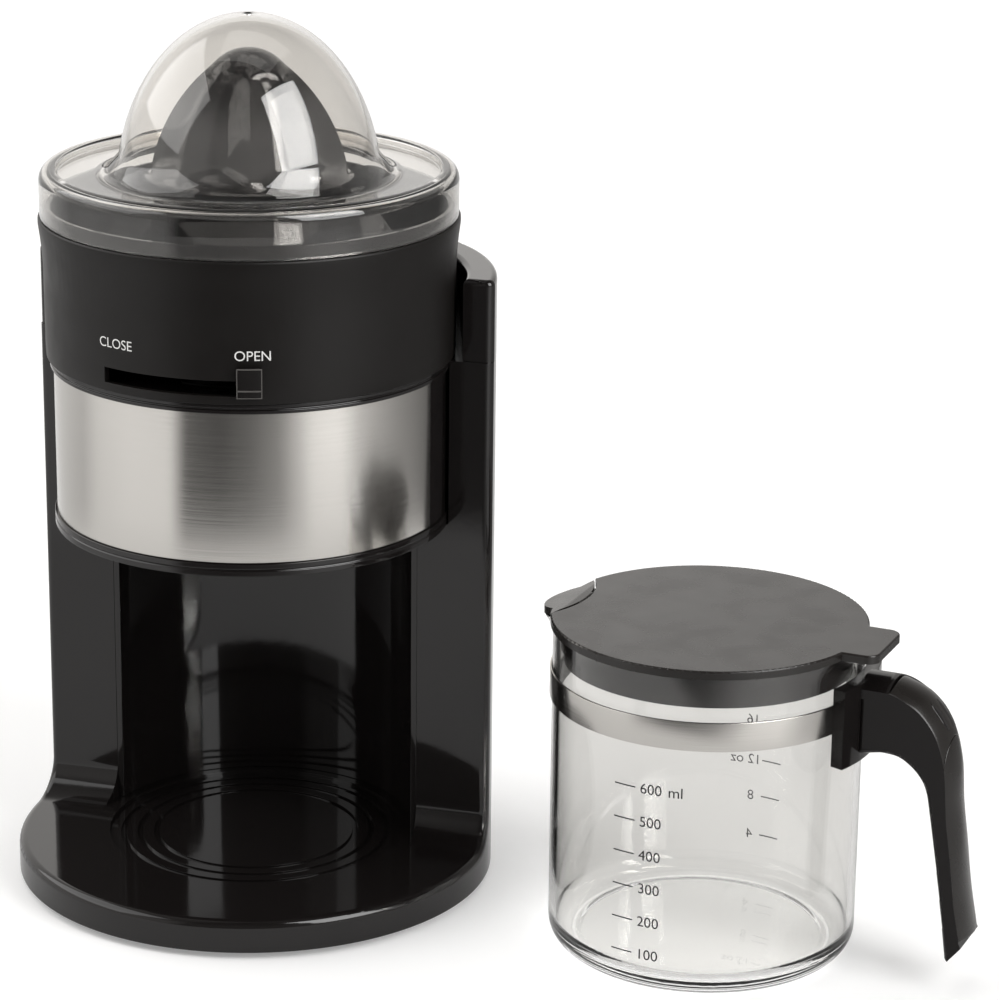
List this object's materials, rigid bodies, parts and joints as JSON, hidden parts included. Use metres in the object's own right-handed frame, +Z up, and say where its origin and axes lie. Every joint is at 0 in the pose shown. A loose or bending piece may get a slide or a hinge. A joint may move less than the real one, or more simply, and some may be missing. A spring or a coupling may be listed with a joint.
{
  "type": "citrus press juicer",
  "caption": "Powered citrus juicer with a motor column, juice bowl, ribbed reamer and clear dome, with a lidded glass carafe beside it.",
  "frame": {"origin": "on the table under the vertical axis of the juicer, at the underside of the middle foot", "axes": "+Z up along the axis of the shaft and reamer; -Y is the front, where the carafe bay opens; +X is the side where the carafe stands"},
  "size_m": [0.357, 0.1765, 0.3151],
  "materials": {
    "gloss_black": "polished moulded plastic",
    "soft_black": "fine matt moulded plastic",
    "satin_black": "satin moulded plastic",
    "matt_black": "plain moulded plastic",
    "steel": "brushed round the band",
    "clear_plastic": "clear, slightly smoky moulded plastic",
    "clear_glass": "clear blown glass",
    "rubber": "soft rubber",
    "zinc": "plain plated steel",
    "brass": "sintered",
    "nylon": "natural nylon",
    "dark_print": "printed scale on the carafe",
    "pale_print": "printed words at the lever's slot",
    "magnet": "ferrite"
  },
  "bodies": {
    "root": {"base_stand": "gloss_black", "base_plate": "matt_black", "rubber_feet": "rubber", "base_screws": "zinc", "cord_gland": "matt_black", "bay_liner": "gloss_black", "column_cap": "gloss_black", "bay_ceiling": "gloss_black", "motor_housing": "gloss_black", "steel_band": "steel", "top_deck": "gloss_black", "juice_duct": "matt_black", "motor_can": "zinc", "motor_magnets": "magnet", "motor_end_cap": "matt_black", "intermediate_pin": "zinc", "gearbox_case": "matt_black", "gearbox_cover": "matt_black", "motor_screws": "zinc", "gearbox_screws": "zinc", "lower_bush": "brass", "upper_bush": "brass", "shaft_seal": "rubber", "shaft_spring": "zinc", "switch_body": "matt_black", "juice_bowl": "soft_black", "outlet_seal": "rubber", "strainer": "gloss_black"},
    "motor": {"rotor": "zinc", "pinion": "brass"},
    "intermediate": {"intermediate_gear": "nylon"},
    "output": {"output_gear": "nylon"},
    "drive": {"drive_shaft": "zinc", "reamer": "gloss_black"},
    "plunger": {"switch_plunger": "nylon"},
    "lever": {"flow_lever": "gloss_black"},
    "cover": {"dust_cover": "clear_plastic"},
    "carafe": {"carafe_glass": "clear_glass", "band_liner": "rubber", "carafe_band": "steel", "handle_body": "gloss_black", "handle_inlay": "satin_black", "handle_grip": "satin_black", "handle_plug": "gloss_black", "clamp_plate": "zinc", "handle_screw": "zinc"},
    "lid": {"carafe_lid": "satin_black", "lid_skirt": "gloss_black"},
    "flap": {"spout_cover": "satin_black"}
  },
  "joints": [
    {"name": "output_gear_spin", "type": "hinge", "parent": "root", "child": "output", "pos_m": [0, 0, 0.18], "axis": [0, 0, 1], "continuous": true},
    {"name": "shaft_press", "type": "slide", "parent": "output", "child": "drive", "axis": [0, 0, -1], "range_m": [0, 0.0025], "stiffness_N_per_m": 1500, "springref_m": -0.004, "deforming": ["shaft_spring"]},
    {"name": "intermediate_spin", "type": "hinge", "parent": "root", "child": "intermediate", "pos_m": [0.022, 0.01386, 0.18], "axis": [0, 0, 1], "continuous": true},
    {"name": "motor_spin", "type": "hinge", "parent": "root", "child": "motor", "pos_m": [0.008, 0.03336, 0.16], "axis": [0, 0, 1], "continuous": true},
    {"name": "switch_plunger", "type": "slide", "parent": "root", "child": "plunger", "axis": [0, 0, -1], "range_m": [0, 0.0025]},
    {"name": "flow_lever", "type": "hinge", "parent": "root", "child": "lever", "pos_m": [0, 0, 0.2], "axis": [0, 0, 1], "range_deg": [-39.3, 0]},
    {"name": "cover_lift", "type": "slide", "parent": "root", "child": "cover", "axis": [0, 0, 1], "range_m": [0, 0.12]},
    {"name": "carafe_carry", "type": "slide", "parent": "root", "child": "carafe", "axis": [-0.6047, -0.7964, 0], "range_m": [0, 0.28376]},
    {"name": "lid_lift", "type": "slide", "parent": "carafe", "child": "lid", "axis": [0, 0, 1], "range_m": [0, 0.08]},
    {"name": "spout_flap", "type": "hinge", "parent": "lid", "child": "flap", "pos_m": [0.1258, -0.00797, 0.11875], "axis": [0.1305, 0.9914, 0], "range_deg": [0, 45]}
  ],
  "couplings": [
    {"joint": "intermediate_spin", "follows": "output_gear_spin", "ratio": -3.3333},
    {"joint": "motor_spin", "follows": "output_gear_spin", "ratio": 10},
    {"joint": "switch_plunger", "follows": "shaft_press", "ratio": 1}
  ]
}
